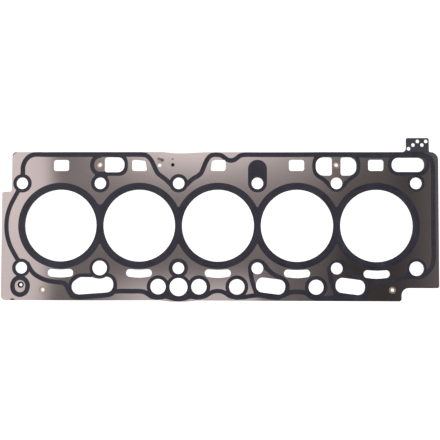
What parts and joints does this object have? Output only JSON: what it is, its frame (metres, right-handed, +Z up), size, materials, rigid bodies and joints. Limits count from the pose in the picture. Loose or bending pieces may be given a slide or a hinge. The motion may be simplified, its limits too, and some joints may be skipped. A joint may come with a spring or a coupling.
{
  "type": "multi-layer steel cylinder head gasket",
  "caption": "Multi-layer steel cylinder head gasket for an in-line engine, with printed rubber sealing lines and a thickness-code tab.",
  "frame": {"origin": "on the axis of the middle bore, at the underside of the lower bead layer", "axes": "+X along the row of bores towards the end with the code tab, +Y across the engine towards the tab's edge, +Z up towards the cylinder head"},
  "size_m": [0.5039, 0.1889, 0.0018],
  "materials": {
    "bead_steel": "satin spring steel, printed with dark rubber sealing lines",
    "carrier_steel": "matte dark coated carrier sheet",
    "stopper_steel": "bare rolled shim",
    "rivet_brass": "bright, pale yellow"
  },
  "bodies": {
    "root": {"upper_bead_layer": "bead_steel", "spacer_layer": "carrier_steel", "lower_bead_layer": "bead_steel", "bore_stopper_1": "stopper_steel", "bore_stopper_2": "stopper_steel", "bore_stopper_3": "stopper_steel", "bore_stopper_4": "stopper_steel", "bore_stopper_5": "stopper_steel", "rivet_top_left": "rivet_brass", "rivet_top_right": "rivet_brass", "rivet_bottom_left": "rivet_brass", "rivet_bottom_right": "rivet_brass"}
  },
  "joints": []
}
